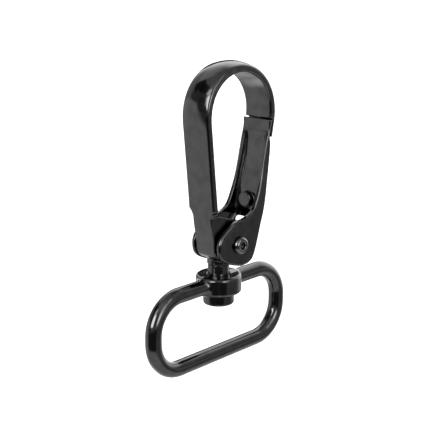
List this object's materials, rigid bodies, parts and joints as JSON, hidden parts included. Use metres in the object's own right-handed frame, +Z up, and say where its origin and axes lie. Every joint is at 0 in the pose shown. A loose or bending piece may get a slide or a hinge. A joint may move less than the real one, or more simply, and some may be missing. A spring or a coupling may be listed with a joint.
{
  "type": "swivel snap hook",
  "caption": "Swivel snap hook: a flat-band hook with a spring gate and a rounded rectangular strap loop that turns on a pin below it.",
  "frame": {"origin": "the saddle: the middle of the hook's inside at its highest point, where the ring that carries the hook bears", "axes": "+Z up along the swivel axis from the strap loop to the hook's top, +X from the hook's back towards its gate, +Y across the width of the band"},
  "size_m": [0.0454, 0.0114, 0.0697],
  "materials": {
    "cast_black_nickel": "polished black nickel plating on a zinc casting",
    "turned_black_nickel": "polished black nickel plating on turned steel, with fine turning marks",
    "rolled_black_nickel": "black nickel plating on a rolled rivet head, a little brighter at its rim",
    "spring_steel": "drawn spring wire, dull"
  },
  "bodies": {
    "hook": {"hook_body": "cast_black_nickel", "swivel_pin": "turned_black_nickel", "gate_rivet": "rolled_black_nickel", "gate_spring": "spring_steel"},
    "gate": {"gate": "cast_black_nickel"},
    "loop": {"strap_loop": "cast_black_nickel"}
  },
  "joints": [
    {"name": "gate_hinge", "type": "hinge", "parent": "hook", "child": "gate", "pos_m": [-0.00145, 0, -0.0389], "axis": [0, -1, 0], "range_deg": [0, 35], "stiffness_Nm_per_rad": 0.04, "springref_deg": -91.67, "deforming": ["gate_spring"]},
    {"name": "loop_swivel", "type": "hinge", "parent": "hook", "child": "loop", "pos_m": [-0.0037, 0, -0.04815], "axis": [0, 0, 1], "continuous": true}
  ]
}
